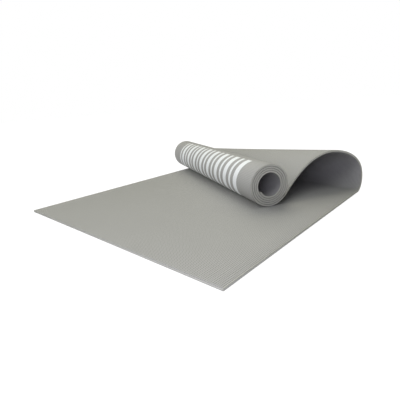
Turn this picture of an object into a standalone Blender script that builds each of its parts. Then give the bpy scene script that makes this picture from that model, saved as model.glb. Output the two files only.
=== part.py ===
"""Exercise mat of laminated foam, laid half open: a flat run, a fold that turns back over it, and a roll.

One long foam sheet with a woven reinforcement inside. From its free short end the sheet lies flat,
lifts off the floor, turns back over itself in a slanted fold and comes down as a web that winds into
the roll, which rests on the flat run. The sheet is three plies thick, and is divided where it bends
into three bodies: the flat run, the fold, and the web with its roll, where the web is a piece apart.

Metres, +Z up, floor at Z = 0. X runs from the free short end towards the fold, Y across the width.
"""
import math

import bpy
import numpy as np

# The mat itself
MAT_WIDTH = 0.610
MAT_THICKNESS = 0.005
SCRIM_THICKNESS = 0.0003
PLY_GAP = 0.0003
WRAP_GAP = 0.0003

# The roll: where the outer wrap touches down, how it stands in plan, how far it is wound, and how much
# of its thickness the foam keeps when it is wound tight
ROLL_NEAR_X = 0.319
ROLL_NEAR_Y = 0.118
ROLL_START_RADIUS = 0.0463
ROLL_SKEW_DEG = 28.2
ROLL_FULL_TURNS = 4
WEB_MEETS_ROLL_DEG = -30.0
ROLL_EXTRA_TURN_DEG = 60.0
WOUND_THICKNESS_SHARE = 0.88

# The fold: where each long edge leaves the floor
LIFT_OFF_NEAR_X = 0.531
LIFT_OFF_FAR_X = 0.650

# The fold's near edge, from the floor round to the roll: the belly, the crest and the web
NEAR_BELLY = (0.586, 0.014, 0.058)
NEAR_CREST = (0.530, 0.056, 0.099)
NEAR_WEB = (0.378, 0.104, 0.032)

# The fold's far edge, which is lower and tighter, and leans towards the roll
FAR_BELLY = (0.756, 0.619, 0.032)
FAR_CREST = (0.752, 0.625, 0.046)
FAR_WEB = (0.679, 0.651, 0.022)

# The far edge bends later than the near one: how far ahead its partner point runs at the start, as a
# multiple of the near edge's share, and the power by which that lead fades towards the roll
FAR_LEAD = 2.45
FAR_LEAD_FADE = 3.5

# Where the web takes over from the fold, and where the foam starts to be squeezed towards the roll, as
# shares of the near edge's way from lift-off to the roll
FOLD_END_SHARE = 0.50
SQUEEZE_START_SHARE = 0.80

# How finely the curved runs are cut
FOLD_STEPS = 30
WEB_STEPS = 12
CROSS_STEPS = 6
STEPS_PER_TURN = 48
SPLINE_SAMPLES = 1200

# The part's own origin, under the middle of the flat run
ORIGIN_X = 0.270
ORIGIN_Y = MAT_WIDTH / 2

CROSS_SHARES = [j / CROSS_STEPS for j in range(CROSS_STEPS + 1)]
FOAM_THICKNESS = (MAT_THICKNESS - SCRIM_THICKNESS - 2 * PLY_GAP) / 2
HALF_THICKNESS = MAT_THICKNESS / 2
WOUND_HALF_THICKNESS = HALF_THICKNESS * WOUND_THICKNESS_SHARE
WRAP_PITCH = 2 * WOUND_HALF_THICKNESS + WRAP_GAP
PLIES = {
    "base_foam": (-HALF_THICKNESS, -HALF_THICKNESS + FOAM_THICKNESS),
    "scrim": (-SCRIM_THICKNESS / 2, SCRIM_THICKNESS / 2),
    "top_foam": (HALF_THICKNESS - FOAM_THICKNESS, HALF_THICKNESS),
}
FOAM_COLOUR = (0.400, 0.402, 0.366)
SCRIM_COLOUR = (0.720, 0.715, 0.690)
FOAM_ROUGHNESS = 0.85
SCRIM_ROUGHNESS = 0.95

UP = np.array([0.0, 0.0, 1.0])
SKEW = math.radians(ROLL_SKEW_DEG)
ROLL_AXIS = np.array([math.sin(SKEW), math.cos(SKEW), 0.0])
TOWARDS_FOLD = np.array([math.cos(SKEW), -math.sin(SKEW), 0.0])
WEB_MEETS_ROLL = math.radians(WEB_MEETS_ROLL_DEG)
ROLL_CENTRE_Z = MAT_THICKNESS + WRAP_GAP + WOUND_HALF_THICKNESS + ROLL_START_RADIUS
ROLL_NEAR_CENTRE = np.array([ROLL_NEAR_X, ROLL_NEAR_Y, ROLL_CENTRE_Z])
ORIGIN = np.array([ORIGIN_X, ORIGIN_Y, 0.0])


def clear_scene():
    """Removes every object that Blender starts with."""
    for item in list(bpy.data.objects):
        bpy.data.objects.remove(item, do_unlink=True)


def make_material(name, colour, roughness):
    """Gives one plain surface its colour and how matt it is."""
    material = bpy.data.materials.new(name)
    material.use_nodes = True
    shader = material.node_tree.nodes["Principled BSDF"]
    shader.inputs["Base Color"].default_value = (*colour, 1.0)
    shader.inputs["Roughness"].default_value = roughness
    material.diffuse_color = (*colour, 1.0)
    return material


def smooth_curve(points, start_heading, end_heading):
    """Runs one curve of even bend through the points, with its first and last heading given."""
    points = np.array(points, dtype=float)
    spans = np.linalg.norm(np.diff(points, axis=0), axis=1)
    count = len(points)
    system = np.zeros((count, count))
    right = np.zeros((count, 3))
    system[0, 0] = 1.0
    right[0] = start_heading
    system[-1, -1] = 1.0
    right[-1] = end_heading
    for i in range(1, count - 1):
        before, after = spans[i - 1], spans[i]
        system[i, i - 1] = after
        system[i, i] = 2 * (before + after)
        system[i, i + 1] = before
        slope_in = (points[i] - points[i - 1]) / before
        slope_out = (points[i + 1] - points[i]) / after
        right[i] = 3 * (after * slope_in + before * slope_out)
    slopes = np.linalg.solve(system, right)

    starts = np.concatenate([[0.0], np.cumsum(spans)])
    at = np.linspace(0.0, starts[-1], SPLINE_SAMPLES)
    piece = np.clip(np.searchsorted(starts, at, side="right") - 1, 0, count - 2)
    span = spans[piece][:, None]
    t = ((at - starts[piece])[:, None]) / span
    curve = (
        (2 * t**3 - 3 * t**2 + 1) * points[piece]
        + (t**3 - 2 * t**2 + t) * span * slopes[piece]
        + (3 * t**2 - 2 * t**3) * points[piece + 1]
        + (t**3 - t**2) * span * slopes[piece + 1]
    )
    return curve


def point_along(curve, share):
    """Point and heading at a share of a curve's own length."""
    steps = np.linalg.norm(np.diff(curve, axis=0), axis=1)
    lengths = np.concatenate([[0.0], np.cumsum(steps)])
    wanted = share * lengths[-1]
    reach = lengths[-1] / SPLINE_SAMPLES
    point = np.array([np.interp(wanted, lengths, curve[:, k]) for k in range(3)])
    ahead = np.array([np.interp(wanted + reach, lengths, curve[:, k]) for k in range(3)])
    behind = np.array([np.interp(wanted - reach, lengths, curve[:, k]) for k in range(3)])
    heading = ahead - behind
    return point, heading / np.linalg.norm(heading)


def curve_length(curve):
    """Length of a sampled curve."""
    return float(np.linalg.norm(np.diff(curve, axis=0), axis=1).sum())


def edge_curves():
    """Near and far edges of the sheet's middle surface, from lift-off to where the roll begins."""
    floor_heading = np.array([1.0, 0.0, 0.0])
    roll_heading = math.sin(WEB_MEETS_ROLL) * UP - math.cos(WEB_MEETS_ROLL) * TOWARDS_FOLD
    meeting_points, _ = roll_row(WEB_MEETS_ROLL)
    near_start = (LIFT_OFF_NEAR_X, 0.0, HALF_THICKNESS)
    near_points = [near_start, NEAR_BELLY, NEAR_CREST, NEAR_WEB, meeting_points[0]]
    far_start = (LIFT_OFF_FAR_X, MAT_WIDTH, HALF_THICKNESS)
    far_points = [far_start, FAR_BELLY, FAR_CREST, FAR_WEB, meeting_points[-1]]
    near = smooth_curve(near_points, floor_heading, roll_heading)
    far = smooth_curve(far_points, floor_heading, roll_heading)
    return near, far


def far_share(share):
    """Share along the far edge that a straight line across the sheet joins to one on the near edge."""
    return share + FAR_LEAD * share * (1 - share) ** FAR_LEAD_FADE


def thickness_share(share):
    """How much of its thickness the foam keeps, at a near-edge share between lift-off and the roll."""
    way = min(max((share - SQUEEZE_START_SHARE) / (1 - SQUEEZE_START_SHARE), 0.0), 1.0)
    eased = way * way * (3 - 2 * way)
    return 1 - (1 - WOUND_THICKNESS_SHARE) * eased


def ruled_row(near, far, share):
    """One row of points and offsets, on the straight line across the fold at a near-edge share."""
    step = 1.0 / SPLINE_SAMPLES
    ahead, behind = min(share + step, 1.0), max(share - step, 0.0)
    pace = (far_share(ahead) - far_share(behind)) / (ahead - behind)
    near_point, near_heading = point_along(near, share)
    far_point, far_heading = point_along(far, far_share(share))
    across = far_point - near_point
    points = []
    offsets = []
    for v in CROSS_SHARES:
        near_part = (1 - v) * curve_length(near) * near_heading
        far_part = v * curve_length(far) * pace * far_heading
        normal = np.cross(near_part + far_part, across)
        points.append(near_point + v * across)
        offsets.append(thickness_share(share) * normal / np.linalg.norm(normal))
    return np.array(points), np.array(offsets)


def roll_row(turned):
    """One row of points and offsets across the roll, at an angle wound on from where it rests."""
    radius = ROLL_START_RADIUS - WRAP_PITCH * turned / (2 * math.pi)
    outward = -math.cos(turned) * UP - math.sin(turned) * TOWARDS_FOLD
    near_point = ROLL_NEAR_CENTRE + radius * outward
    offset = WOUND_THICKNESS_SHARE * outward
    return np.array([near_point, near_point + MAT_WIDTH * ROLL_AXIS]), np.array([offset, offset])


def flat_rows(near, far):
    """Rows of the flat run: the free short end, and the slanted line where the sheet lifts off."""
    free_end = np.array([[0.0, v * MAT_WIDTH, HALF_THICKNESS] for v in CROSS_SHARES])
    return [(free_end, np.array([UP] * len(CROSS_SHARES))), ruled_row(near, far, 0.0)]


def fold_rows(near, far):
    """Rows of the fold, from lift-off over its belly and crest."""
    start = PLY_GAP / curve_length(far)
    span = FOLD_END_SHARE - start
    return [ruled_row(near, far, start + span * i / FOLD_STEPS) for i in range(FOLD_STEPS + 1)]


def web_rows(near, far):
    """Rows of the web, which comes down from the crest to the roll."""
    gap = PLY_GAP / curve_length(far)
    start = FOLD_END_SHARE + gap
    span = 1.0 - gap - start
    return [ruled_row(near, far, start + span * i / WEB_STEPS) for i in range(WEB_STEPS + 1)]


def roll_rows():
    """Rows of the wound sheet, from where the web meets it to its inner end."""
    first = round(WEB_MEETS_ROLL_DEG / 360 * STEPS_PER_TURN)
    last = round((ROLL_FULL_TURNS + ROLL_EXTRA_TURN_DEG / 360) * STEPS_PER_TURN)
    return [roll_row(2 * math.pi * i / STEPS_PER_TURN) for i in range(first, last + 1)]


def sheet_solid(name, rows, low, high, material):
    """Closed solid between two depths of a sheet, whose offsets are its normals times its squeeze."""
    across = len(rows[0][0])
    along = len(rows)
    vertices = []
    for depth in (low, high):
        for points, offsets in rows:
            vertices += [tuple(p + depth * q - ORIGIN) for p, q in zip(points, offsets)]
    size = across * along

    def at(side, i, j):
        return side * size + i * across + j

    faces = []
    for i in range(along - 1):
        for j in range(across - 1):
            faces.append((at(0, i, j), at(0, i, j + 1), at(0, i + 1, j + 1), at(0, i + 1, j)))
            faces.append((at(1, i, j), at(1, i + 1, j), at(1, i + 1, j + 1), at(1, i, j + 1)))
        last = across - 1
        faces.append((at(0, i, 0), at(0, i + 1, 0), at(1, i + 1, 0), at(1, i, 0)))
        faces.append((at(0, i, last), at(1, i, last), at(1, i + 1, last), at(0, i + 1, last)))
    for j in range(across - 1):
        end = along - 1
        faces.append((at(0, 0, j), at(1, 0, j), at(1, 0, j + 1), at(0, 0, j + 1)))
        faces.append((at(0, end, j), at(0, end, j + 1), at(1, end, j + 1), at(1, end, j)))
    mesh = bpy.data.meshes.new(name)
    mesh.from_pydata(vertices, [], faces)
    mesh.update()
    mesh.materials.append(material)
    item = bpy.data.objects.new(name, mesh)
    bpy.context.scene.collection.objects.link(item)
    return item


def build_run(prefix, rows):
    """The three plies of one run of the sheet, each its own named piece."""
    for ply, (low, high) in PLIES.items():
        name = f"{prefix}_{ply}"
        if ply == "scrim":
            material = make_material(name, SCRIM_COLOUR, SCRIM_ROUGHNESS)
        else:
            material = make_material(name, FOAM_COLOUR, FOAM_ROUGHNESS)
        sheet_solid(name, rows, low, high, material)


def least_wrap_gap(near, far):
    """Least clearance between the web and the wrap of the roll that it comes in over."""
    least = math.inf
    for share in np.linspace(FOLD_END_SHARE, 1.0, 80):
        points, offsets = ruled_row(near, far, share)
        for point, offset in zip(points, offsets):
            from_axis = point - HALF_THICKNESS * offset - ROLL_NEAR_CENTRE
            side = float(np.dot(from_axis, TOWARDS_FOLD))
            turned = math.atan2(-side, -float(from_axis[2])) % (2 * math.pi)
            if turned == 0.0:
                turned = 2 * math.pi
            wrap = ROLL_START_RADIUS - WRAP_PITCH * turned / (2 * math.pi) + WOUND_HALF_THICKNESS
            if turned < math.pi / 2:
                wrap -= WRAP_PITCH
            least = min(least, math.hypot(side, float(from_axis[2])) - wrap)
    return least


def main():
    """Builds the mat's twelve pieces."""
    clear_scene()
    near, far = edge_curves()
    build_run("flat", flat_rows(near, far))
    build_run("fold", fold_rows(near, far))
    build_run("web", web_rows(near, far))
    build_run("roll", roll_rows())

    turned = 2 * math.pi * (ROLL_FULL_TURNS + ROLL_EXTRA_TURN_DEG / 360)
    mean_angle = turned + WEB_MEETS_ROLL
    wound = (turned - WEB_MEETS_ROLL) * (ROLL_START_RADIUS - WRAP_PITCH * mean_angle / (4 * math.pi))
    for label, start, curve in (("near", LIFT_OFF_NEAR_X, near), ("far", LIFT_OFF_FAR_X, far)):
        total = start + curve_length(curve) + wound
        print(f"{label} edge: fold and web {curve_length(curve):.4f} m, whole mat {total:.4f} m")
    print(f"least gap between web and roll {1000 * least_wrap_gap(near, far):.2f} mm")


main()
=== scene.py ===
"""Exercise mat, half unrolled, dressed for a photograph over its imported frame.

The mat is one foam sheet: a flat run, a slanted fold that turns back over it, and a web that
winds into a roll lying on the flat run. Lengths are in metres, +Z up.
"""

import logging
import math
from dataclasses import dataclass, field, replace
from enum import Enum
from functools import reduce
from typing import Any, Sequence

import bpy
import numpy as np
from mathutils import Matrix, Vector

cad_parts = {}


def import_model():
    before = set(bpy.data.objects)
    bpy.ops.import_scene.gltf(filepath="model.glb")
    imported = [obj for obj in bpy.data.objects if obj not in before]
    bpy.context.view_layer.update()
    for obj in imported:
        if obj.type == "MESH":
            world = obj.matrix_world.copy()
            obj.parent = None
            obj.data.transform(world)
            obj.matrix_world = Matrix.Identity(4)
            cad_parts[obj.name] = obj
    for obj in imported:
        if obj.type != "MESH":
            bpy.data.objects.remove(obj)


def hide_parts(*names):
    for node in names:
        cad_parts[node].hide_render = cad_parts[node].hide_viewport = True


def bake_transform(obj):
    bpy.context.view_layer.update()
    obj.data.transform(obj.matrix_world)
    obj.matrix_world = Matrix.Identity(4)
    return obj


logging.basicConfig(level=logging.INFO, format="%(message)s")
LOG = logging.getLogger("exercise_mat")
UP = np.array([0.0, 0.0, 1.0])

Place = tuple[float, float, float]
Colour = tuple[float, float, float]
WHITE: Colour = (1.0, 1.0, 1.0)


def opaque(colour: Colour) -> tuple[float, float, float, float]:
    """A colour with full alpha, as sockets take it."""
    return (*colour, 1.0)


class Side(Enum):
    """The two faces of the sheet. The value is the way each looks off the middle surface."""

    TOP = 1
    BASE = -1


class Body(Enum):
    """The frame's moving bodies."""

    FLAT = "flat_run"
    FOLD = "fold_loop"
    ROLL = "roll_run"


@dataclass(frozen=True)
class MatSizes:
    """The mat's own sizes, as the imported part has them.

    Places are measured from the corner at the free short end and the near long edge.

    Attributes:
        width: Width of the sheet.
        thickness: Thickness of the loose foam.
        wrap_gap: Gap between neighbouring wraps of the roll.
        roll_near: Level place of the roll's axis at the near long edge.
        roll_radius: Radius of the sheet's middle surface at the roll's lowest line.
        roll_skew_deg: How far the roll's axis is turned off the sheet's width.
        roll_turned_deg: Angle at which the wound sheet ends, from the roll's lowest line.
        web_meets_roll_deg: Angle at which the web runs into the roll, from the same line.
        wound_share: Share of its thickness that the foam keeps in the roll.
        squeeze_start: Share of the way to the roll at which the foam starts to squeeze.
        lift_near_x: Where the near long edge leaves the floor.
        lift_far_x: Where the far long edge leaves it.
        near_belly: The near long edge where the fold reaches farthest out.
        near_crest: The near long edge at the top of the fold.
        near_web: The near long edge on its way down to the roll.
        far_belly: The far long edge where the fold reaches farthest out.
        far_crest: The far long edge at the top of the fold.
        far_web: The far long edge on its way down to the roll.
        far_lead: How far the far long edge runs ahead of the near one in the fold.
        far_lead_fade: How soon that lead dies out towards the roll.
        origin: Level place of the part's own origin.
        edge_round: Radius of the rounded edges.
    """

    width: float = 0.610
    thickness: float = 0.005
    wrap_gap: float = 0.0003
    roll_near: tuple[float, float] = (0.319, 0.118)
    roll_radius: float = 0.0463
    roll_skew_deg: float = 28.2
    roll_turned_deg: float = 1500.0
    web_meets_roll_deg: float = -30.0
    wound_share: float = 0.88
    squeeze_start: float = 0.80
    lift_near_x: float = 0.531
    lift_far_x: float = 0.650
    near_belly: Place = (0.586, 0.014, 0.058)
    near_crest: Place = (0.530, 0.056, 0.099)
    near_web: Place = (0.378, 0.104, 0.032)
    far_belly: Place = (0.756, 0.619, 0.032)
    far_crest: Place = (0.752, 0.625, 0.046)
    far_web: Place = (0.679, 0.651, 0.022)
    far_lead: float = 2.45
    far_lead_fade: float = 3.5
    origin: tuple[float, float] = (0.270, 0.305)
    edge_round: float = 0.0010

    @property
    def half(self) -> float:
        """Half of the loose foam's thickness."""
        return self.thickness / 2

    @property
    def pitch(self) -> float:
        """How much nearer the middle each wrap of the roll lies."""
        return self.thickness * self.wound_share + self.wrap_gap

    def half_at(self, share: float) -> float:
        """Half of the thickness that the foam keeps on its way into the roll.

        Args:
            share: From 0 at lift-off to 1 at the roll.

        Returns:
            Half of the thickness.
        """
        way = min(max((share - self.squeeze_start) / (1 - self.squeeze_start), 0.0), 1.0)
        return self.half * (1 - (1 - self.wound_share) * way * way * (3 - 2 * way))


@dataclass
class Row:
    """One row of the sheet's middle surface, from the near long edge to the far one.

    Attributes:
        points: Places of the row's stations, near to far.
        normals: The way the printed face looks at each station.
        along: Developed distance from the free short end at each station.
        across: Developed distance from the near long edge at each station.
        half: Half of the sheet's thickness.
    """

    points: np.ndarray
    normals: np.ndarray
    along: np.ndarray
    across: np.ndarray
    half: float


class EdgeCurve:
    """One long edge of the sheet's middle surface, from lift-off to the roll."""

    # Number of points that the curve is stepped out in.
    SAMPLES = 1600

    def __init__(
        self, points: Sequence[Sequence[float]], first: np.ndarray, last: np.ndarray
    ) -> None:
        """Runs an evenly bent curve through the points.

        Args:
            points: The places it passes through.
            first: Its heading at the first of them.
            last: Its heading at the last of them.
        """
        knots = np.array(points, dtype=float)
        spans = np.linalg.norm(np.diff(knots, axis=0), axis=1)
        count = len(knots)
        system = np.eye(count)
        right = np.zeros((count, 3))
        right[0] = first
        right[-1] = last
        for i in range(1, count - 1):
            before, after = spans[i - 1], spans[i]
            system[i, i - 1 : i + 2] = (after, 2 * (before + after), before)
            slope_in = (knots[i] - knots[i - 1]) / before
            slope_out = (knots[i + 1] - knots[i]) / after
            right[i] = 3 * (after * slope_in + before * slope_out)
        slopes = np.linalg.solve(system, right)
        starts = np.concatenate([[0.0], np.cumsum(spans)])
        at = np.linspace(0.0, starts[-1], self.SAMPLES)
        piece = np.clip(np.searchsorted(starts, at, side="right") - 1, 0, count - 2)
        span = spans[piece][:, None]
        t = (at - starts[piece])[:, None] / span
        self.curve = (
            (2 * t**3 - 3 * t**2 + 1) * knots[piece]
            + (t**3 - 2 * t**2 + t) * span * slopes[piece]
            + (3 * t**2 - 2 * t**3) * knots[piece + 1]
            + (t**3 - t**2) * span * slopes[piece + 1]
        )
        steps = np.linalg.norm(np.diff(self.curve, axis=0), axis=1)
        self.lengths = np.concatenate([[0.0], np.cumsum(steps)])

    @property
    def length(self) -> float:
        """Developed length of the edge."""
        return float(self.lengths[-1])

    def place(self, share: float) -> tuple[np.ndarray, np.ndarray]:
        """Finds a place on the edge.

        Args:
            share: How far along, from 0 at lift-off to 1 at the roll.

        Returns:
            The point and the heading there.
        """
        wanted = share * self.length
        reach = self.length / self.SAMPLES
        found = [
            np.array([np.interp(at, self.lengths, self.curve[:, k]) for k in range(3)])
            for at in (wanted, wanted + reach, wanted - reach)
        ]
        heading = found[1] - found[2]
        return found[0], heading / np.linalg.norm(heading)


class MatShape:
    """The middle surface of the whole mat, worked out row by row."""

    # Number of strips between the long edges.
    STRIPS = 24
    # Share of the near edge over which the far edge's pace is measured.
    PACE_STEP = 0.0005

    def __init__(self, sizes: MatSizes) -> None:
        """Sets the fold and the roll out.

        Args:
            sizes: The mat's sizes.
        """
        self.sizes = sizes
        self.shares = np.linspace(0.0, 1.0, self.STRIPS + 1)
        skew = math.radians(sizes.roll_skew_deg)
        self.axis = np.array([math.sin(skew), math.cos(skew), 0.0])
        self.towards_fold = np.array([math.cos(skew), -math.sin(skew), 0.0])
        rise = sizes.thickness + sizes.wrap_gap + sizes.half_at(1.0) + sizes.roll_radius
        self.near_centre = np.array([*sizes.roll_near, rise])
        self.meets = math.radians(sizes.web_meets_roll_deg)
        floor_heading = np.array([1.0, 0.0, 0.0])
        roll_heading = math.sin(self.meets) * UP - math.cos(self.meets) * self.towards_fold
        touch = self.near_centre + self._spoke(self.meets)
        near_start = (sizes.lift_near_x, 0.0, sizes.half)
        near_path = [near_start, sizes.near_belly, sizes.near_crest, sizes.near_web, touch]
        far_start = (sizes.lift_far_x, sizes.width, sizes.half)
        far_touch = touch + sizes.width * self.axis
        far_path = [far_start, sizes.far_belly, sizes.far_crest, sizes.far_web, far_touch]
        self.near = EdgeCurve(near_path, floor_heading, roll_heading)
        self.far = EdgeCurve(far_path, floor_heading, roll_heading)
        self.roll_starts = sizes.lift_near_x + self.near.length

    def _radius(self, turned: float) -> float:
        """Radius of the wound sheet's middle, at an angle wound on from its lowest line."""
        return self.sizes.roll_radius - self.sizes.pitch * turned / (2 * math.pi)

    def _outward(self, turned: float) -> np.ndarray:
        """The way out of the roll, at an angle wound on from its lowest line."""
        return -math.cos(turned) * UP - math.sin(turned) * self.towards_fold

    def _spoke(self, turned: float) -> np.ndarray:
        """From the roll's axis to the middle of its sheet."""
        return self._radius(turned) * self._outward(turned)

    def _wound_length(self, turned: float) -> float:
        """Length of sheet wound between the web and an angle."""
        mean = self._radius((turned + self.meets) / 2)
        return (turned - self.meets) * mean

    def _far_share(self, share: float) -> float:
        """Share of the far edge that a straight line across the sheet joins to a near one."""
        return share + self.sizes.far_lead * share * (1 - share) ** self.sizes.far_lead_fade

    def flat_row(self, share: float) -> Row:
        """Works out a row of the flat run.

        Args:
            share: From 0 at the free short end to 1 at lift-off.

        Returns:
            The row.
        """
        ends = share * self.sizes.lift_near_x, share * self.sizes.lift_far_x
        x = ends[0] + self.shares * (ends[1] - ends[0])
        y = self.shares * self.sizes.width
        points = np.stack([x, y, np.full(len(x), self.sizes.half)], axis=1)
        return Row(points, np.tile(UP, (len(x), 1)), x, y, self.sizes.half)

    def fold_row(self, share: float) -> Row:
        """Works out a row of the fold or the web.

        Args:
            share: From 0 at lift-off to 1 at the roll, along the near edge.

        Returns:
            The row.
        """
        ahead, behind = min(share + self.PACE_STEP, 1.0), max(share - self.PACE_STEP, 0.0)
        pace = (self._far_share(ahead) - self._far_share(behind)) / (ahead - behind)
        near_point, near_heading = self.near.place(share)
        far_point, far_heading = self.far.place(self._far_share(share))
        v = self.shares[:, None]
        near_part = (1 - v) * self.near.length * near_heading
        heading = near_part + v * self.far.length * pace * far_heading
        normals = np.cross(heading, far_point - near_point)
        normals /= np.linalg.norm(normals, axis=1)[:, None]
        near_along = self.sizes.lift_near_x + share * self.near.length
        far_along = self.sizes.lift_far_x + self._far_share(share) * self.far.length
        along = near_along + self.shares * (far_along - near_along)
        points = near_point + v * (far_point - near_point)
        across = self.shares * self.sizes.width
        return Row(points, normals, along, across, self.sizes.half_at(share))

    def roll_row(self, turned: float) -> Row:
        """Works out a row of the roll.

        Args:
            turned: Angle wound on from the roll's lowest line, in radians.

        Returns:
            The row.
        """
        reach = self.shares[:, None] * self.sizes.width * self.axis
        points = self.near_centre + self._spoke(turned) + reach
        normals = np.tile(self._outward(turned), (len(self.shares), 1))
        along = np.full(len(self.shares), self.roll_starts + self._wound_length(turned))
        across = self.shares * self.sizes.width
        return Row(points, normals, along, across, self.sizes.half_at(1.0))


class Strand:
    """One output inside a material's nodes. On numbers, Python's own arithmetic works."""

    def __init__(self, bench: "Bench", socket: Any) -> None:
        """Keeps the socket and the bench that its nodes are made on."""
        self.bench = bench
        self.socket = socket

    def _maths(self, operation: str, *values: Any) -> "Strand":
        """Adds one Math node."""
        return self.bench.node("ShaderNodeMath", {"operation": operation}, dict(enumerate(values)))

    def __add__(self, other: Any) -> "Strand":
        """Sum."""
        return self._maths("ADD", self, other)

    def __radd__(self, other: Any) -> "Strand":
        """Sum with a plain number first."""
        return self._maths("ADD", other, self)

    def __sub__(self, other: Any) -> "Strand":
        """Difference."""
        return self._maths("SUBTRACT", self, other)

    def __rsub__(self, other: Any) -> "Strand":
        """Difference from a plain number."""
        return self._maths("SUBTRACT", other, self)

    def __mul__(self, other: Any) -> "Strand":
        """Product."""
        return self._maths("MULTIPLY", self, other)

    def __rmul__(self, other: Any) -> "Strand":
        """Product with a plain number first."""
        return self._maths("MULTIPLY", other, self)

    def __gt__(self, other: Any) -> "Strand":
        """One where greater, else nought."""
        return self._maths("GREATER_THAN", self, other)

    def __lt__(self, other: Any) -> "Strand":
        """One where less, else nought."""
        return self._maths("LESS_THAN", self, other)

    def size(self) -> "Strand":
        """Its value without the sign."""
        return self._maths("ABSOLUTE", self)

    def wave(self) -> "Strand":
        """Its sine."""
        return self._maths("SINE", self)

    def over(self, period: float) -> "Strand":
        """What is left over from whole periods."""
        return self._maths("FLOORED_MODULO", self, period)

    def at_least(self, other: Any) -> "Strand":
        """The greater of two."""
        return self._maths("MAXIMUM", self, other)

    def ramp(self, low: float, high: float, start: float = 0.0, end: float = 1.0) -> "Strand":
        """Steps smoothly from one value to another.

        Args:
            low: Where the step starts.
            high: Where it ends.
            start: Value below it.
            end: Value above it.

        Returns:
            The stepped value.
        """
        settings = {"interpolation_type": "SMOOTHSTEP", "clamp": True}
        sockets = {0: self, 1: low, 2: high, 3: start, 4: end}
        return self.bench.node("ShaderNodeMapRange", settings, sockets)


@dataclass(frozen=True)
class Mottle:
    """Cloudy variation of one fineness.

    Attributes:
        scale: How fine it is.
        detail: How many finer layers it has.
        rough: How strong those are.
    """

    scale: float
    detail: float
    rough: float

    def sockets(self) -> dict[str, float]:
        """Its numbers under the names of a noise node's inputs."""
        return {"Scale": self.scale, "Detail": self.detail, "Roughness": self.rough}


class Bench:
    """Makes the nodes of one material or world."""

    # Places of a Mix node's sockets for colours: factor, first, second, and the result.
    MIX_SOCKETS = (0, 6, 7, 2)

    def __init__(self, owner: Any, output: str = "ShaderNodeOutputMaterial") -> None:
        """Clears the nodes that a new material or world comes with.

        Args:
            owner: The material or world.
            output: Blender's name for the type of its output node.
        """
        owner.use_nodes = True
        self.owner = owner
        self.output = output
        self.tree = owner.node_tree
        self.tree.nodes.clear()

    def make(
        self, kind: str, settings: dict[str, Any], sockets: dict[int | str, Any]
    ) -> bpy.types.Node:
        """Adds one node.

        Args:
            kind: Blender's name for the node's type.
            settings: The node's own settings, which are set first.
            sockets: Values or links of its inputs, by name or place.

        Returns:
            The node.
        """
        made = self.tree.nodes.new(kind)
        for key, value in settings.items():
            setattr(made, key, value)
        for key, value in sockets.items():
            if isinstance(value, Strand):
                self.tree.links.new(value.socket, made.inputs[key])
            else:
                made.inputs[key].default_value = value
        return made

    def node(
        self,
        kind: str,
        settings: dict[str, Any],
        sockets: dict[int | str, Any],
        out: int | str = 0,
    ) -> Strand:
        """Adds one node, as make does, and gives one of its outputs, by name or place."""
        return Strand(self, self.make(kind, settings, sockets).outputs[out])

    def mark(self, name: str) -> Strand:
        """A number that the mesh carries under a name."""
        return self.node("ShaderNodeAttribute", {"attribute_name": name}, {}, "Fac")

    def split(self, vector: Strand) -> tuple[Strand, ...]:
        """The three numbers of a vector."""
        made = self.make("ShaderNodeSeparateXYZ", {}, {0: vector})
        return tuple(Strand(self, output) for output in made.outputs)

    def join(self, x: Any, y: Any, z: Any) -> Strand:
        """A vector of three numbers."""
        return self.node("ShaderNodeCombineXYZ", {}, {0: x, 1: y, 2: z})

    def noise(self, vector: Strand, mottle: Mottle) -> Strand:
        """Cloudy variation about one half, read at a vector."""
        sockets = {"Vector": vector, **mottle.sockets()}
        return self.node("ShaderNodeTexNoise", {"noise_dimensions": "3D"}, sockets)

    def blend(self, factor: Strand, first: Any, second: Any) -> Strand:
        """Mixes two colours.

        Args:
            factor: How much of the second shows, from 0 to 1.
            first: The first colour.
            second: The second colour.

        Returns:
            The mixed colour.
        """
        *inputs, result = self.MIX_SOCKETS
        sockets = dict(zip(inputs, (factor, first, second)))
        return self.node("ShaderNodeMix", {"data_type": "RGBA"}, sockets, result)

    def finish(self, shader: Strand) -> Any:
        """Sends a shader to the output, and gives the finished material or world."""
        self.make(self.output, {}, {"Surface": shader})
        return self.owner


@dataclass(frozen=True)
class PrintedBars:
    """Plain white bars printed round the outside of the roll, wide and narrow by turns.

    Attributes:
        first: Distance of the first bar from the near long edge.
        pitch: Distance from one wide bar to the next.
        count: Number of wide bars.
        starts: Where the bars start within a pitch.
        widths: How wide those bars are.
        lean: How far a bar shifts across the mat for each unit along it.
        half_length: Half of a bar's length.
        middle: Distance of the bars' middle line past the line where the web meets the roll.
        soft: Half of the width over which the ink's edge fades.
    """

    first: float = 0.070
    pitch: float = 0.060
    count: int = 8
    starts: tuple[float, ...] = (0.0, 0.0345)
    widths: tuple[float, ...] = (0.019, 0.010)
    lean: float = 0.14
    half_length: float = 0.060
    middle: float = 0.098
    soft: float = 0.0003

    def mask(self, along: Strand, across: Strand, roll_starts: float) -> Strand:
        """Finds where the ink lies.

        Args:
            along: Distance from the free short end.
            across: Distance from the near long edge, shifted on the base side.
            roll_starts: Where the web meets the roll.

        Returns:
            One under the ink, else nought.
        """
        from_middle_line = along - (roll_starts + self.middle)
        shifted = across + from_middle_line * self.lean - self.first
        place = shifted.over(self.pitch)
        bars = [
            (width / 2 - (place - (start + width / 2)).size()).ramp(-self.soft, self.soft)
            for start, width in zip(self.starts, self.widths)
        ]
        length = (self.half_length - from_middle_line.size()).ramp(-self.soft, self.soft)
        printed = (shifted > -self.soft) * (shifted < self.count * self.pitch - self.soft)
        return reduce(Strand.at_least, bars) * length * printed


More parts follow.
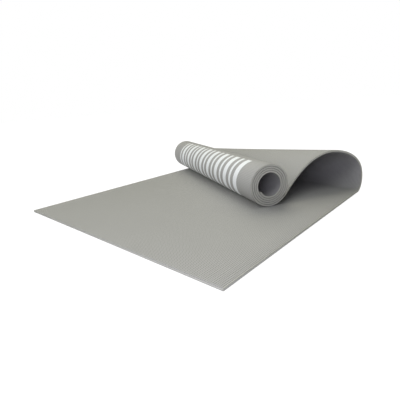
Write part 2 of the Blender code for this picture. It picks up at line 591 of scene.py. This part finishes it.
@dataclass(frozen=True)
class FoamFinish:
    """Matt grey foam, embossed with a fine waffle that has painted shade in its hollows, with its
    cut edge left plain but for painted shade in the seams between wraps.

    Attributes:
        colour: The foam's lighter tone.
        shade_colour: Its darker tone.
        painted_shade_colour: Painted shade in the waffle's hollows and in the seams between wraps.
        edge_colour: The cut edge.
        scrim_colour: The woven reinforcement, seen on the cut edge.
        ink: The printed bars.
        clouds: Wide, faint variation of tone.
        clouds_weight: How strong it is.
        fleck: Fine variation of tone.
        fleck_weight: How strong it is.
        tone_span: Limits of both together, from the darker tone to the lighter.
        grain: The foam's own pores.
        grain_depth: How deep they are.
        waffle_pitch: Distance from one knob of the waffle to the next.
        waffle_depth: How deep the waffle is.
        hollow_span: Heights of the waffle between which the painted shade of its hollows fades
            out.
        hollow_shade_mean: Mean painted shade of the hollows, which is left where the waffle is
            weak.
        hollow_painted_shade: How strong the painted shade in the hollows gets.
        base_share: How much weaker the waffle is on the base side.
        stretched_share: How strong the waffle stays where the foam is stretched round the roll.
        stretch_over: Length of mat over which it fades to that.
        scrim_half: Half of the scrim's thickness.
        scrim_shows: How plainly the scrim shows.
        seam_from: Distance off the middle surface at which the painted shade in the seams between
            wraps starts.
        seam_full: Distance at which it is full.
        seam_painted_shade: How strong the painted shade in the seams gets.
        bare_hollow: Heights of the waffle below which the ink is thin.
        hollow_cover: How much ink is there.
        bare_fleck: Values of the fleck below which the ink is thin.
        fleck_cover: How much ink is there.
        roughness: Roughness of the foam.
        ink_polish: How much smoother the ink is.
        specular: How strongly foam and ink mirror.
        bars: The printed bars' layout.
    """

    colour: Colour = (0.365, 0.365, 0.350)
    shade_colour: Colour = (0.336, 0.336, 0.322)
    painted_shade_colour: Colour = (0.120, 0.120, 0.115)
    edge_colour: Colour = (0.415, 0.421, 0.356)
    scrim_colour: Colour = (0.530, 0.525, 0.495)
    ink: Colour = (0.680, 0.700, 0.708)
    clouds: Mottle = Mottle(9.0, 3.0, 0.55)
    clouds_weight: float = 0.30
    fleck: Mottle = Mottle(260.0, 3.0, 0.7)
    fleck_weight: float = 0.55
    tone_span: tuple[float, float] = (0.25, 0.75)
    grain: Mottle = Mottle(1500.0, 2.0, 0.6)
    grain_depth: float = 0.00006
    waffle_pitch: float = 0.0034
    waffle_depth: float = 0.0003
    hollow_span: tuple[float, float] = (-0.9, 0.3)
    hollow_shade_mean: float = 0.31
    hollow_painted_shade: float = 0.85
    base_share: float = 0.7
    stretched_share: float = 0.35
    stretch_over: float = 0.05
    scrim_half: float = 0.0003
    scrim_shows: float = 0.8
    seam_from: float = 0.0014
    seam_full: float = 0.0020
    seam_painted_shade: float = 0.50
    bare_hollow: tuple[float, float] = (-0.95, -0.35)
    hollow_cover: float = 0.70
    bare_fleck: tuple[float, float] = (0.25, 0.42)
    fleck_cover: float = 0.80
    roughness: float = 0.78
    ink_polish: float = 0.12
    specular: float = 0.35
    bars: PrintedBars = field(default_factory=PrintedBars)

    def material(self, name: str, sizes: MatSizes, roll_starts: float) -> bpy.types.Material:
        """Makes the foam's material.

        Args:
            name: Its name.
            sizes: The mat's sizes.
            roll_starts: Developed distance at which the web meets the roll.

        Returns:
            The material.
        """
        bench = Bench(bpy.data.materials.new(name))
        pattern = bench.node("ShaderNodeUVMap", {"uv_map": MatSkin.SHEET_MAP}, {})
        along, across, _ = bench.split(pattern)
        sheet = bench.join(along, across, 0.0)
        is_face = bench.mark(MatSkin.FACE_MARK)
        wound = along.ramp(roll_starts - self.stretch_over, roll_starts)
        on_base = across > sizes.width + MatSkin.BASE_SIDE_MARGIN
        stretched = 1 - wound * (1 - self.stretched_share)
        embossed = is_face * stretched * (1 - on_base * self.base_share)
        turn = 2 * math.pi / self.waffle_pitch
        waffle = ((along * turn).wave() + (across * turn).wave()) * 0.5
        fleck = bench.noise(sheet, self.fleck)
        face = self._face_colour(bench, waffle, embossed, fleck)
        surface = bench.blend(is_face, self._cut_colour(bench, wound), face)
        in_hollow = waffle.ramp(*self.bare_hollow, self.hollow_cover, 1.0)
        cover = in_hollow * fleck.ramp(*self.bare_fleck, self.fleck_cover, 1.0)
        inked = self.bars.mask(along, across, roll_starts) * is_face
        grain = bench.noise(sheet, self.grain)
        height = waffle * embossed * (self.waffle_depth / 2) + grain * self.grain_depth
        bump = {"Strength": 1.0, "Distance": 1.0, "Height": height}
        sockets = {
            "Base Color": bench.blend(inked * cover, surface, opaque(self.ink)),
            "Roughness": self.roughness - inked * self.ink_polish,
            "Specular IOR Level": self.specular,
            "Normal": bench.node("ShaderNodeBump", {}, bump),
        }
        return bench.finish(bench.node("ShaderNodeBsdfPrincipled", {}, sockets))

    def _face_colour(
        self, bench: Bench, waffle: Strand, embossed: Strand, fleck: Strand
    ) -> Strand:
        """Colours the two faces of the sheet, with painted shade in the waffle's hollows.

        Args:
            bench: The material's bench.
            waffle: Height of the waffle, from -1 to 1.
            embossed: How strong the waffle is, from 0 to 1.
            fleck: Fine variation of tone.

        Returns:
            The colour.
        """
        solid = bench.node("ShaderNodeTexCoord", {}, {}, "Object")
        clouds = bench.noise(solid, self.clouds)
        tone = (clouds - 0.5) * self.clouds_weight + (fleck - 0.5) * self.fleck_weight + 0.5
        shade = tone.ramp(*self.tone_span)
        foam = bench.blend(shade, opaque(self.shade_colour), opaque(self.colour))
        # Painted shade: the waffle's hollows are darkened towards the painted shade colour, and
        # their mean darkening stays where the waffle is weak.
        hollows = waffle.ramp(*self.hollow_span, 1.0, 0.0) - self.hollow_shade_mean
        hollow_shade = (hollows * embossed + self.hollow_shade_mean) * self.hollow_painted_shade
        return bench.blend(hollow_shade, foam, opaque(self.painted_shade_colour))

    def _cut_colour(self, bench: Bench, wound: Strand) -> Strand:
        """Colours the cut edge: foam, the scrim's thin line, and painted shade in the seams
        between wraps.

        Args:
            bench: The material's bench.
            wound: From 0 on the loose mat to 1 in the roll.

        Returns:
            The colour.
        """
        depth = bench.mark(MatSkin.DEPTH_MARK).size()
        in_scrim = (depth < self.scrim_half) * self.scrim_shows
        plies = bench.blend(in_scrim, opaque(self.edge_colour), opaque(self.scrim_colour))
        # Painted shade: the wound foam's cut edge is darkened near both faces, in the seams
        # between wraps.
        painted_seam_mask = depth.ramp(self.seam_from, self.seam_full) * wound * self.seam_painted_shade
        return bench.blend(painted_seam_mask, plies, opaque(self.painted_shade_colour))


class Outline:
    """The closed outline of the sheet at one row."""

    def __init__(self, row: Row) -> None:
        """Starts an outline without points.

        Args:
            row: The row of the middle surface.
        """
        self.row = row
        self.last = len(row.points) - 1
        span = row.points[self.last] - row.points[0]
        self.inwards = span / np.linalg.norm(span)
        self.places: list[np.ndarray] = []
        self.flat: list[tuple[float, float]] = []
        self.depths: list[float] = []
        self.sides: list[Side | None] = []

    def add(self, station: int, inset: float, height: float, side: Side | None) -> None:
        """Adds one point.

        Args:
            station: The row's station that it belongs to.
            inset: How far in from the long edge it lies.
            height: How far off the middle surface it lies.
            side: The face that it belongs to, or none on a rounded edge.
        """
        row = self.row
        sign = 1.0 if station == 0 else -1.0 if station == self.last else 0.0
        shift = sign * inset * self.inwards
        self.places.append(row.points[station] + shift + height * row.normals[station])
        self.flat.append((row.along[station], row.across[station] + sign * inset))
        self.depths.append(height)
        self.sides.append(side)


@dataclass
class MatSkin:
    """Builds one closed stretch of the sheet, with rounded edges and its own flat pattern.

    Attributes:
        sizes: The mat's sizes.
    """

    # Names under which the finish finds the flat pattern and the mesh's marks.
    SHEET_MAP = "sheet"
    FACE_MARK = "is_face"
    DEPTH_MARK = "depth"
    # The base side lies this much farther across on the flat pattern, so that anything more
    # than the margin past the width is the base side.
    BASE_SIDE_SHIFT = 1.0
    BASE_SIDE_MARGIN = 0.1
    # How finely a rounded edge is stepped, and the most of the half thickness that it takes.
    CORNER_STEPS = 3
    MOST_ROUND_SHARE = 0.95
    SHARP_ANGLE_DEG = 40.0

    sizes: MatSizes

    def _outline(self, row: Row) -> Outline:
        """Runs round the sheet: over the top from near to far, and back under the base.

        Args:
            row: The row of the middle surface.

        Returns:
            The outline.
        """
        outline = Outline(row)
        ends = (0, outline.last)
        radius = min(self.sizes.edge_round, row.half * self.MOST_ROUND_SHARE)
        arc = [math.pi / 2 * k / self.CORNER_STEPS for k in range(self.CORNER_STEPS + 1)]
        for side, order in (
            (Side.TOP, range(outline.last + 1)),
            (Side.BASE, range(outline.last, -1, -1)),
        ):
            for station in order:
                if station not in ends:
                    outline.add(station, 0.0, side.value * row.half, side)
                    continue
                for angle in arc if station == order[0] else arc[::-1]:
                    inset = radius * (1 - math.cos(angle))
                    height = side.value * (row.half - radius * (1 - math.sin(angle)))
                    outline.add(station, inset, height, side if angle == arc[-1] else None)
        return outline

    def _rounded(self, first: Row, second: Row) -> list[Row]:
        """Rounds a cut short end.

        Args:
            first: The row at the end.
            second: The next row inwards.

        Returns:
            Rows that take the first one's place, from the end inwards.
        """
        made = []
        steps = self.CORNER_STEPS + 1
        radius = self.sizes.edge_round
        away = second.points - first.points
        away /= np.linalg.norm(away, axis=1)[:, None]
        for k in range(steps + 1):
            angle = math.pi / 2 * k / steps
            inset = radius * (1 - math.cos(angle))
            height = first.half - radius * (1 - math.sin(angle))
            made.append(replace(first, points=first.points + inset * away, half=height))
        return made

    @staticmethod
    def _faces(outlines: list[Outline]) -> tuple[list[tuple[int, ...]], list[Side | None]]:
        """Joins neighbouring outlines by faces and closes both ends.

        Args:
            outlines: The outlines, in order along the mat.

        Returns:
            The corners of each face, and the side of the sheet that it belongs to.
        """
        marks = outlines[0].sides
        ring = len(marks)
        last = len(outlines) - 1
        faces: list[tuple[int, ...]] = []
        sides: list[Side | None] = []
        for i in range(last):
            here, there = i * ring, (i + 1) * ring
            for j in range(ring):
                k = (j + 1) % ring
                faces.append((here + j, there + j, there + k, here + k))
                sides.append(marks[j] if marks[j] is marks[k] else None)
        for i in (0, last):
            for j in range(ring // 2 - 1):
                quad = (j, j + 1, ring - 2 - j, ring - 1 - j)
                faces.append(tuple(i * ring + c for c in (quad[::-1] if i else quad)))
                sides.append(None)
        return faces, sides

    def _mark(
        self,
        mesh: bpy.types.Mesh,
        outlines: list[Outline],
        faces: list[tuple[int, ...]],
        sides: list[Side | None],
    ) -> None:
        """Gives the mesh its flat pattern and the marks that the finish reads.

        Args:
            mesh: The mesh.
            outlines: Its outlines.
            faces: The corners of each face.
            sides: The side of the sheet that each face belongs to.
        """
        counts = [len(face) for face in faces]
        corners = np.concatenate(faces)
        shifts = [self.BASE_SIDE_SHIFT if side is Side.BASE else 0.0 for side in sides]
        on_face = [0.0 if side is None else 1.0 for side in sides]
        places = np.concatenate([outline.flat for outline in outlines])[corners]
        places[:, 1] += np.repeat(shifts, counts)
        depths = np.concatenate([outline.depths for outline in outlines])
        mesh.uv_layers.new(name=self.SHEET_MAP)
        mesh.attributes.new(self.FACE_MARK, "FLOAT", "CORNER")
        mesh.attributes.new(self.DEPTH_MARK, "FLOAT", "POINT")
        mesh.uv_layers[self.SHEET_MAP].data.foreach_set("uv", places.ravel())
        mesh.attributes[self.FACE_MARK].data.foreach_set("value", np.repeat(on_face, counts))
        mesh.attributes[self.DEPTH_MARK].data.foreach_set("value", depths)

    def build(
        self, name: str, rows: list[Row], cut_start: bool, cut_end: bool
    ) -> bpy.types.Object:
        """Builds the stretch.

        Args:
            name: The piece's name.
            rows: Its rows, in order along the mat.
            cut_start: Whether it starts at a cut of the real sheet, which is rounded.
            cut_end: Whether it ends at one.

        Returns:
            The piece.
        """
        plan = list(rows)
        if cut_start:
            plan = self._rounded(rows[0], rows[1]) + plan[1:]
        if cut_end:
            plan = plan[:-1] + self._rounded(rows[-1], rows[-2])[::-1]
        outlines = [self._outline(row) for row in plan]
        faces, sides = self._faces(outlines)
        origin = np.array([*self.sizes.origin, 0.0])
        vertices = np.concatenate([outline.places for outline in outlines]) - origin
        mesh = bpy.data.meshes.new(name)
        mesh.from_pydata([tuple(vertex) for vertex in vertices], [], faces)
        self._mark(mesh, outlines, faces, sides)
        mesh.update()
        piece = bpy.data.objects.new(name, mesh)
        bpy.context.scene.collection.objects.link(piece)
        self._smooth(piece)
        return piece

    def _smooth(self, piece: bpy.types.Object) -> None:
        """Turns the faces outwards and shades them smooth, apart from sharp corners.

        Args:
            piece: The piece.
        """
        bpy.ops.object.select_all(action="DESELECT")
        piece.select_set(True)
        bpy.context.view_layer.objects.active = piece
        bpy.ops.object.mode_set(mode="EDIT")
        bpy.ops.mesh.select_all(action="SELECT")
        bpy.ops.mesh.normals_make_consistent(inside=False)
        bpy.ops.object.mode_set(mode="OBJECT")
        bpy.ops.object.shade_smooth_by_angle(angle=math.radians(self.SHARP_ANGLE_DEG))
        piece.select_set(False)


@dataclass(frozen=True)
class Bend:
    """The line across a stretch at which the frame passes from one body to the next.

    Attributes:
        lead: The level way across the hinge.
        begin: Distance along it, and height over the floor, where the passing begins.
        stop: The same where it stops.
    """

    lead: tuple[float, float]
    begin: tuple[float, float]
    stop: tuple[float, float]

    def ends(self, origin: tuple[float, float]) -> list[Place]:
        """Places both ends of the line.

        Args:
            origin: Level place of the part's own origin.

        Returns:
            The places where the passing begins and stops.
        """
        places = []
        for reach, height in (self.begin, self.stop):
            foot = np.array(self.lead) / np.dot(self.lead, self.lead) * reach - np.array(origin)
            places.append((foot[0], foot[1], height))
        return places


@dataclass
class FoamMat:
    """The whole mat, in two stretches that meet at the outermost line of the fold.

    Attributes:
        sizes: The mat's sizes.
        finish: The foam's finish.
        flat_steps: Number of rows in the flat run.
        lower_steps: Number of rows in the fold's lower part.
        upper_steps: Number of rows in the fold's upper part and the web.
        row_angle_deg: Angle from one row of the roll to the next.
        meeting_share: Share of the way from lift-off to the roll at which the two meet.
        lower_bend: The line on the lower stretch at which the frame passes from its flat run to
            its fold.
        upper_bend: The line on the upper stretch at which the frame passes from its fold to its
            roll.
    """

    PLIES = ("base_foam", "scrim", "top_foam")

    sizes: MatSizes = field(default_factory=MatSizes)
    finish: FoamFinish = field(default_factory=FoamFinish)
    flat_steps: int = 40
    lower_steps: int = 76
    upper_steps: int = 140
    row_angle_deg: float = 2.5
    meeting_share: float = 0.23
    lower_bend: Bend = Bend((0.965, -0.262), (0.4994, -0.0031), (0.5164, 0.0534))
    upper_bend: Bend = Bend((0.956, -0.292), (0.5442, 0.0503), (0.4550, 0.0735))

    def build(self) -> list[bpy.types.Object]:
        """Builds and dresses both stretches, and hides the frame's plies that they take the place
        of.

        Returns:
            The two pieces.
        """
        shape = MatShape(self.sizes)
        skin = MatSkin(self.sizes)
        material = self.finish.material("embossed_foam", self.sizes, shape.roll_starts)
        pieces = [self._lower(shape, skin), self._upper(shape, skin)]
        for piece in pieces:
            piece.data.materials.append(material)
        return pieces

    def _nodes(self, *runs: str) -> list[str]:
        """Names of the frame's plies in some runs of the mat."""
        return [f"{run}_{ply}" for run in runs for ply in self.PLIES]

    def _lower(self, shape: MatShape, skin: MatSkin) -> bpy.types.Object:
        """Builds the flat run and the fold's lower part.

        Args:
            shape: The middle surface.
            skin: What builds a stretch over it.

        Returns:
            The piece.
        """
        rows = [shape.flat_row(i / self.flat_steps) for i in range(self.flat_steps)]
        for i in range(self.lower_steps + 1):
            rows.append(shape.fold_row(self.meeting_share * i / self.lower_steps))
        piece = skin.build("mat_flat_and_lower_fold", rows, True, False)
        begin, stop = self.lower_bend.ends(self.sizes.origin)
        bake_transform(piece)
        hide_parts(*self._nodes("flat"))
        return piece

    def _upper(self, shape: MatShape, skin: MatSkin) -> bpy.types.Object:
        """Builds the fold's upper part, the web and the roll.

        Args:
            shape: The middle surface.
            skin: What builds a stretch over it.

        Returns:
            The piece.
        """
        start = self.meeting_share
        span = 1.0 - start
        steps = self.upper_steps
        rows = [shape.fold_row(start + span * i / steps) for i in range(steps)]
        first = self.sizes.web_meets_roll_deg
        count = round((self.sizes.roll_turned_deg - first) / self.row_angle_deg)
        for i in range(count + 1):
            rows.append(shape.roll_row(math.radians(first + self.row_angle_deg * i)))
        piece = skin.build("mat_upper_fold_and_roll", rows, False, True)
        begin, stop = self.upper_bend.ends(self.sizes.origin)
        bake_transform(piece)
        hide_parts(*self._nodes("fold", "web", "roll"))
        return piece


@dataclass(frozen=True)
class SoftSun:
    """One wide, even light without a hard edge.

    Attributes:
        name: What it is called.
        height_deg: How high it stands over the floor.
        bearing_deg: Where it stands, turned from +X towards +Y.
        strength: How strong it is.
        colour: Its tint.
    """

    name: str
    height_deg: float
    bearing_deg: float
    strength: float
    colour: Colour

    def towards(self) -> Vector:
        """Works out the way from the mat to the light.

        Returns:
            The way, one unit long.
        """
        height, bearing = math.radians(self.height_deg), math.radians(self.bearing_deg)
        level = math.cos(height)
        return Vector((level * math.cos(bearing), level * math.sin(bearing), math.sin(height)))


@dataclass(frozen=True)
class Panel:
    """One square lamp that looks at the mat's own origin.

    Attributes:
        name: What it is called.
        place: Where its middle hangs.
        side: How wide it is.
        watts: How strong it is.
        colour: Its tint.
    """

    name: str
    place: Place
    side: float
    watts: float
    colour: Colour


@dataclass
class Studio:
    """White floor and surround, soft lights and the camera.

    Attributes:
        camera_place: Where the camera stands.
        pitch_deg: How far it looks down.
        roll_deg: How far it leans.
        yaw_deg: The way it looks, turned from +X towards +Y.
        lens: Its focal length in millimetres.
        sensor: Its film's width in millimetres.
        clip_start: The nearest that it sees.
        floor_size: Length of the floor's sides.
        floor_drop: How far under the mat's lowest plane the floor lies.
        floor_bounce: The floor's colour as the mat sees it.
        paper: Its grey where the camera sees it.
        glow: How strongly it shines there.
        glow_share: The glow's share over the paper's, so that a faint shadow stays.
        sun_width_deg: How wide each sun is.
        suns: The suns.
        panels: The square lamps.
    """

    camera_place: Place = (-0.54695, -0.53608, 0.23337)
    pitch_deg: float = 16.6885
    roll_deg: float = -4.1411
    yaw_deg: float = 43.2705
    lens: float = 28.80
    sensor: float = 36.0
    clip_start: float = 0.01
    floor_size: float = 30.0
    floor_drop: float = 0.0004
    floor_bounce: Colour = (0.76, 0.75, 0.84)
    paper: Colour = (0.9, 0.9, 0.9)
    glow: float = 1.15
    glow_share: float = 0.86
    sun_width_deg: float = 50.0
    suns: tuple[SoftSun, ...] = (
        SoftSun("back_left", 20.0, 110.0, 2.21, (0.99, 1.00, 0.96)),
        SoftSun("back_high", 50.0, 45.0, 1.96, (1.00, 0.98, 0.86)),
        SoftSun("right", 35.0, 330.0, 0.23, (0.93, 1.00, 0.68)),
    )
    panels: tuple[Panel, ...] = (
        Panel("near_low", (-0.80, -0.60, 0.35), 0.6, 3.9, (0.85, 0.83, 1.00)),
        Panel("overhead", (-0.25, -0.20, 1.00), 0.8, 4.45, (0.97, 0.99, 1.00)),
    )

    def build(self) -> None:
        """Sets up the floor, the surround, the lights and the camera."""
        self._floor()
        self._world()
        for sun in self.suns:
            lamp = self._lamp(sun.name, "SUN", sun.strength, sun.colour, sun.towards())
            lamp.data.angle = math.radians(self.sun_width_deg)
        for panel in self.panels:
            lamp = self._lamp(panel.name, "AREA", panel.watts, panel.colour, Vector(panel.place))
            lamp.data.size = panel.side
            lamp.location = panel.place
        self._camera()

    def _floor(self) -> None:
        """Lays a wide white floor that keeps a faint shadow."""
        bpy.ops.object.select_all(action="DESELECT")
        middle = (0.0, 0.0, -self.floor_drop)
        bpy.ops.mesh.primitive_plane_add(size=self.floor_size, location=middle)
        floor = bpy.context.object
        floor.name = "studio_floor"
        bpy.ops.object.transform_apply(location=True, rotation=False, scale=False)
        bench = Bench(bpy.data.materials.new("white_floor"))
        seen = bench.node("ShaderNodeLightPath", {}, {}, "Is Camera Ray")
        bounce = bench.node("ShaderNodeBsdfDiffuse", {}, {"Color": opaque(self.floor_bounce)})
        paper = bench.node("ShaderNodeBsdfDiffuse", {}, {"Color": opaque(self.paper)})
        light = {"Color": opaque(WHITE), "Strength": self.glow}
        glow = bench.node("ShaderNodeEmission", {}, light)
        lit = bench.node("ShaderNodeMixShader", {}, {0: self.glow_share, 1: paper, 2: glow})
        shader = bench.node("ShaderNodeMixShader", {}, {0: seen, 1: bounce, 2: lit})
        floor.data.materials.append(bench.finish(shader))

    def _world(self) -> None:
        """Makes a surround that is white to the camera and gives no light."""
        bench = Bench(bpy.data.worlds.new("studio"), "ShaderNodeOutputWorld")
        seen = bench.node("ShaderNodeLightPath", {}, {}, "Is Camera Ray")
        unlit, white = (
            bench.node("ShaderNodeBackground", {}, {"Color": opaque(WHITE), "Strength": strength})
            for strength in (0.0, 1.0)
        )
        shader = bench.node("ShaderNodeMixShader", {}, {0: seen, 1: unlit, 2: white})
        bpy.context.scene.world = bench.finish(shader)

    @staticmethod
    def _lamp(
        name: str, kind: str, power: float, colour: Colour, towards: Vector
    ) -> bpy.types.Object:
        """Adds one lamp.

        Args:
            name: Its name.
            kind: Blender's name for its type.
            power: How strong it is.
            colour: Its tint.
            towards: The way from the mat to the lamp.

        Returns:
            The lamp, turned to shine back along that way.
        """
        data = bpy.data.lights.new(name, kind)
        data.energy = power
        data.color = colour
        lamp = bpy.data.objects.new(name, data)
        bpy.context.scene.collection.objects.link(lamp)
        lamp.rotation_euler = towards.to_track_quat("Z", "Y").to_euler()
        return lamp

    def _camera(self) -> None:
        """Stands the camera where the photograph was taken from."""
        angles = (self.pitch_deg, self.roll_deg, self.yaw_deg)
        pitch, roll, yaw = (math.radians(angle) for angle in angles)
        reach = math.cos(pitch)
        forward = Vector((math.cos(yaw) * reach, math.sin(yaw) * reach, -math.sin(pitch)))
        level = Vector((math.sin(yaw), -math.cos(yaw), 0.0))
        above = level.cross(forward)
        right = math.cos(roll) * level + math.sin(roll) * above
        top = -math.sin(roll) * level + math.cos(roll) * above
        data = bpy.data.cameras.new("camera")
        data.sensor_width = self.sensor
        data.lens = self.lens
        data.clip_start = self.clip_start
        camera = bpy.data.objects.new("camera", data)
        bpy.context.scene.collection.objects.link(camera)
        turn = Matrix((right, top, -forward)).transposed().to_4x4()
        camera.matrix_world = Matrix.Translation(Vector(self.camera_place)) @ turn
        bpy.context.scene.camera = camera


def set_view() -> None:
    """Keeps colours as they are written."""
    bpy.context.scene.view_settings.view_transform = "Standard"


def main() -> None:
    """Builds the mat and the studio."""
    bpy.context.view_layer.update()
    for piece in FoamMat().build():
        LOG.info("%s: %d faces", piece.name, len(piece.data.polygons))
    Studio().build()
    set_view()
    LOG.info("boxes written")


if __name__ == "__main__":
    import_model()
    main()
